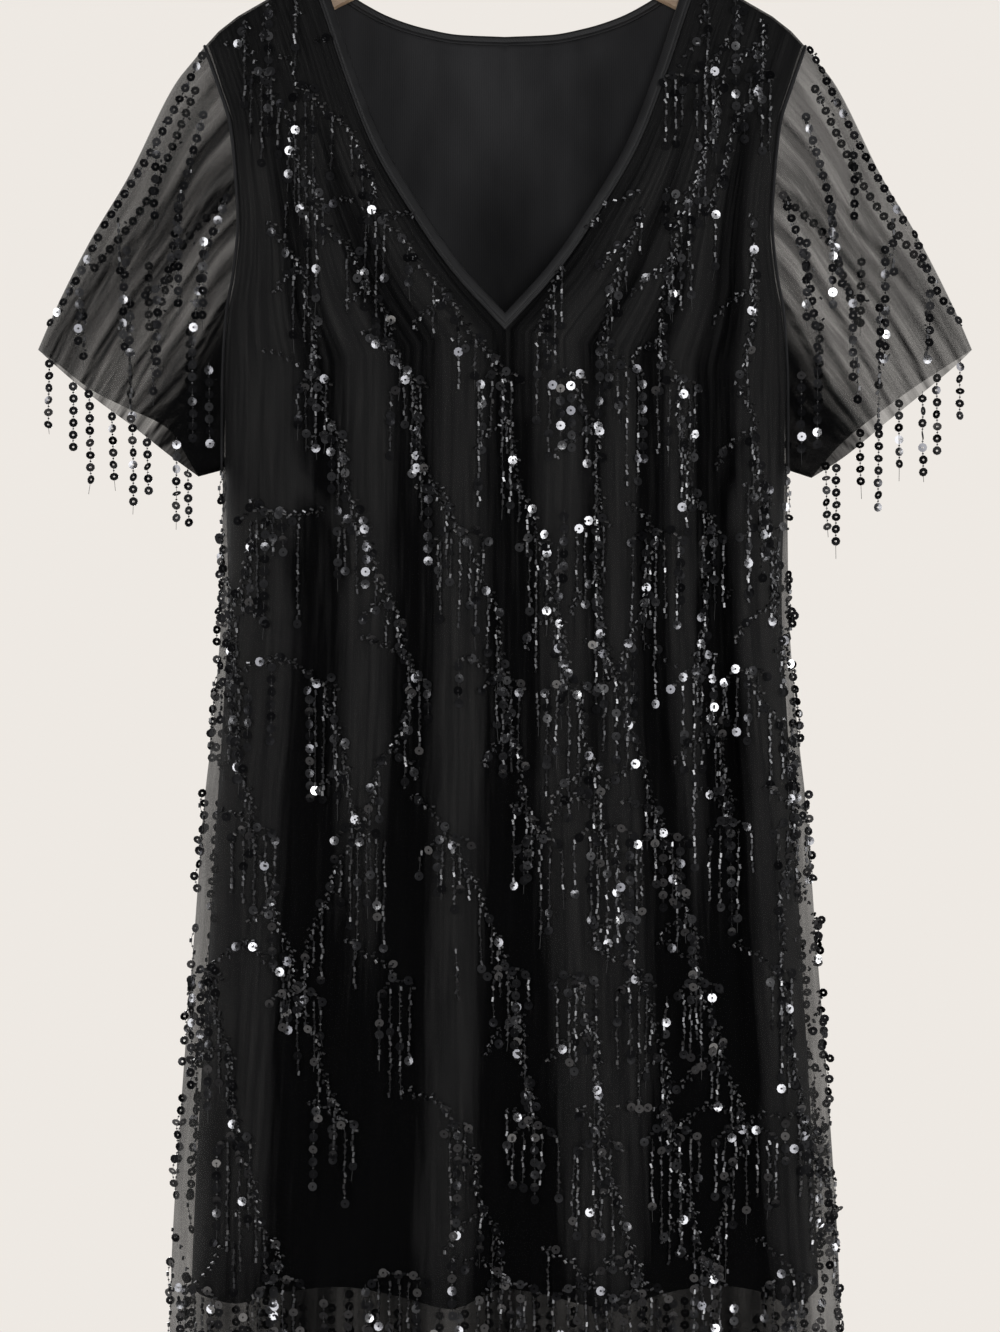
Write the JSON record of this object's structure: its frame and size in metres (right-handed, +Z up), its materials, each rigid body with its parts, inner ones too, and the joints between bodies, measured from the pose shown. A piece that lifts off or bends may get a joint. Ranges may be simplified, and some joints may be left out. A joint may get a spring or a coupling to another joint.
{
  "type": "sequin fringe dress on a wooden hanger",
  "caption": "Black party dress hung on a wooden hanger: opaque lining, sheer net over it with short flared sleeves, V neck and hanging sequin strands.",
  "frame": {"origin": "inside top of the hook, where it rests on a rail", "axes": "+Z up along the hanging garment, front of the dress towards -Y, +X to the right of someone facing the front"},
  "size_m": [0.6958, 0.0994, 1.2563],
  "materials": {
    "lining": "matte knit",
    "net": "sheer net",
    "binding": "soft sheen",
    "sequin": "mirror gloss",
    "bead": "gloss",
    "thread": "matte",
    "wood": "satin lacquer",
    "hook": "polished"
  },
  "bodies": {
    "root": {"hanger_wood": "wood", "hanger_hook": "hook", "lining_front": "lining", "lining_back": "lining", "net_front": "net", "net_back": "net", "sleeve_left": "net", "sleeve_right": "net", "neck_binding_front": "binding", "neck_binding_back": "binding", "fringe_front_1_left": "sequin", "fringe_front_1_right": "sequin", "fringe_front_2_left": "sequin", "fringe_front_2_right": "sequin", "fringe_front_3": "sequin", "fringe_front_4": "sequin", "fringe_front_5": "sequin", "fringe_front_6": "sequin", "fringe_front_7": "sequin", "fringe_front_8": "sequin", "fringe_front_9": "sequin", "fringe_back_1": "sequin", "fringe_back_2": "sequin", "fringe_back_3": "sequin", "fringe_back_4": "sequin", "fringe_back_5": "sequin", "fringe_back_6": "sequin", "fringe_back_7": "sequin", "fringe_back_8": "sequin", "fringe_hem_front": "sequin", "fringe_hem_back": "sequin", "fringe_sleeve_left": "sequin", "fringe_sleeve_right": "sequin"}
  },
  "joints": []
}
